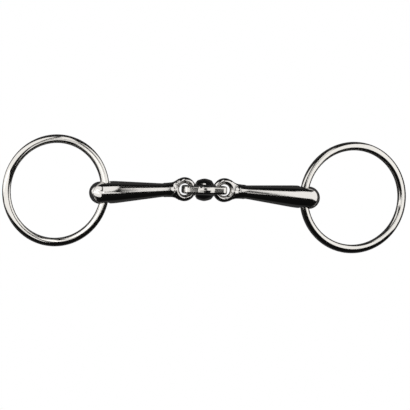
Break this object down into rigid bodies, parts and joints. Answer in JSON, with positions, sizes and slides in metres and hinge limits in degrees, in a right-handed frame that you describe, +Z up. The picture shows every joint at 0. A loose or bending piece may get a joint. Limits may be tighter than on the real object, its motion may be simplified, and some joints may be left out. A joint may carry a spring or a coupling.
{
  "type": "loose ring snaffle bit",
  "caption": "Loose ring snaffle bit: two tapered round cannons joined by a lozenge-shaped middle link, with a free round ring through each end.",
  "frame": {"origin": "on the surface that the bit lies on, midway between the two rings", "axes": "+X along the mouthpiece towards the right ring, +Y towards the side that the middle link bows to, +Z up from the surface"},
  "size_m": [0.296, 0.078, 0.0159],
  "materials": {
    "ring_steel": "mirror-polished stainless steel wire",
    "mouthpiece_steel": "mirror-polished stainless steel casting",
    "link_steel": "mirror-polished stainless steel casting"
  },
  "bodies": {
    "link": {"middle_link": "link_steel"},
    "left_cannon": {"left_cannon": "mouthpiece_steel"},
    "right_cannon": {"right_cannon": "mouthpiece_steel"},
    "left_ring": {"left_ring": "ring_steel"},
    "right_ring": {"right_ring": "ring_steel"}
  },
  "joints": [
    {"name": "left_fold", "type": "hinge", "parent": "link", "child": "left_cannon", "pos_m": [-0.0084, 0.0033, 0.0066], "axis": [0, 1, 0], "range_deg": [-40, 40]},
    {"name": "right_fold", "type": "hinge", "parent": "link", "child": "right_cannon", "pos_m": [0.0084, 0.0033, 0.0066], "axis": [0, -1, 0], "range_deg": [-40, 40]},
    {"name": "left_ring_swing", "type": "hinge", "parent": "left_cannon", "child": "left_ring", "pos_m": [-0.07299, -0.00065, 0.00797], "axis": [0.0181, 0.9998, 0], "range_deg": [-90, 90]},
    {"name": "right_ring_swing", "type": "hinge", "parent": "right_cannon", "child": "right_ring", "pos_m": [0.07299, -0.00065, 0.00797], "axis": [0.0181, -0.9998, 0], "range_deg": [-90, 90]}
  ]
}
